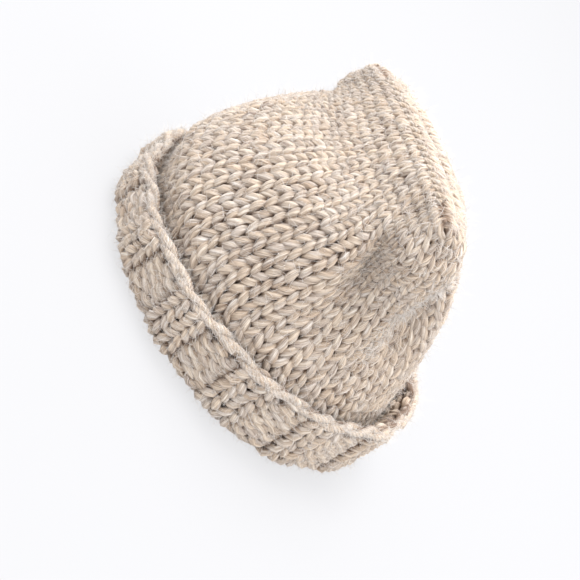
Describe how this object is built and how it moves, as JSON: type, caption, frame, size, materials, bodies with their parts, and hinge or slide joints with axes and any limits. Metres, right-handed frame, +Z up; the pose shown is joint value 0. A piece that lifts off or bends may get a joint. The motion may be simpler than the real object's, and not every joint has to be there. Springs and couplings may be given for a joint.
{
  "type": "cat ear beanie",
  "caption": "Thick hand-knitted beanie with a turned-up ribbed cuff and a straight top seam whose corners stand out as soft cat ears.",
  "frame": {"origin": "on the surface that the hat rests on, under the middle of the cuff", "axes": "+Z up out of the crown, -Y to the front of the hat, +X to the wearer's left, with the ears along X"},
  "size_m": [0.1994, 0.1994, 0.1539],
  "materials": {
    "knit_body": "thick marled wool in stockinette, soft and matte with loose fuzz",
    "rib_cuff": "the same marled wool in a two by two rib",
    "cast_on_edge": "long lighter strands of the same wool, laid like a rope",
    "seam_yarn": "one drawn-in strand of the same wool"
  },
  "bodies": {
    "root": {"crown": "knit_body", "cuff": "rib_cuff", "cast_on_edge": "cast_on_edge", "top_seam": "seam_yarn"}
  },
  "joints": []
}
